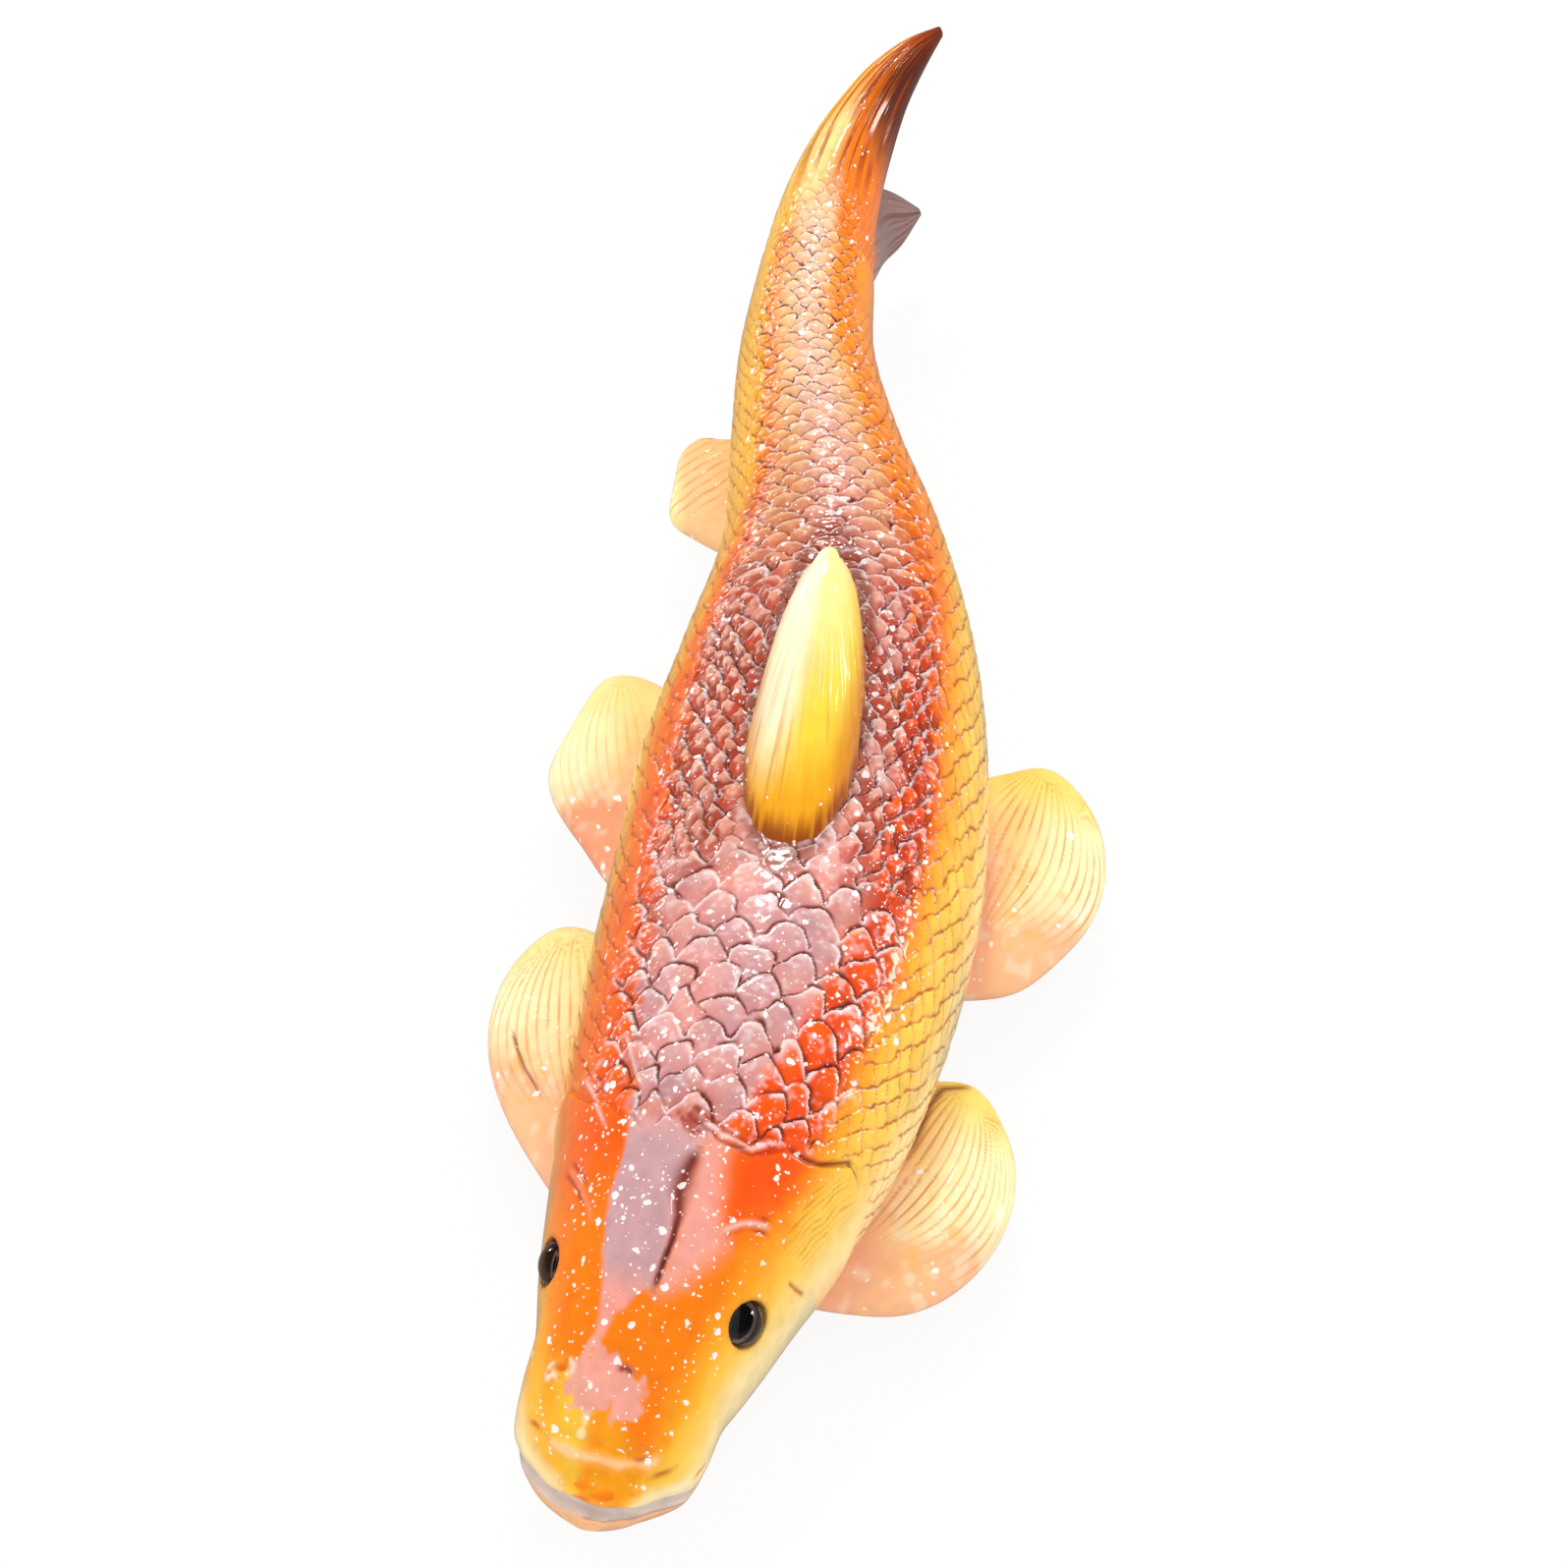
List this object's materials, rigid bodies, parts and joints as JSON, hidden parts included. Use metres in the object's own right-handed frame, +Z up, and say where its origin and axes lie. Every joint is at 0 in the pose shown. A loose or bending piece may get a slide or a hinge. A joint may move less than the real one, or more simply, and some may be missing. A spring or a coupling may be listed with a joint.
{
  "type": "fish figurine",
  "caption": "Lifelike koi figurine that rests on its flat belly, with a curved body, forked tail, spread fins and domed glass eyes.",
  "frame": {"origin": "on the flat of the belly, under the middle of the body", "axes": "+Z up from the rest face, -Y towards the head, +Y towards the tail, +X towards the fish's own left"},
  "size_m": [0.0837, 0.2512, 0.0643],
  "materials": {
    "painted_skin": "cast resin, painted, clear gloss coat",
    "painted_belly": "cast resin, painted, clear gloss coat",
    "plug_rubber": "matt",
    "ballast_iron": "rough cast",
    "dorsal_paint": "cast resin, painted, clear gloss coat",
    "tail_paint": "cast resin, painted, clear gloss coat",
    "fin_paint": "cast resin, painted, clear gloss coat",
    "eye_paint": "painted disc, satin",
    "eye_glass": "clear polished"
  },
  "bodies": {
    "root": {"back_shell": "painted_skin", "belly_plate": "painted_belly", "belly_plug": "plug_rubber", "ballast_bar": "ballast_iron", "dorsal_fin": "dorsal_paint", "tail_fin": "tail_paint", "left_pectoral_fin": "fin_paint", "right_pectoral_fin": "fin_paint", "left_pelvic_fin": "fin_paint", "right_pelvic_fin": "fin_paint", "anal_fin": "fin_paint", "left_eye_iris": "eye_paint", "right_eye_iris": "eye_paint", "left_eye_glass": "eye_glass", "right_eye_glass": "eye_glass"}
  },
  "joints": []
}
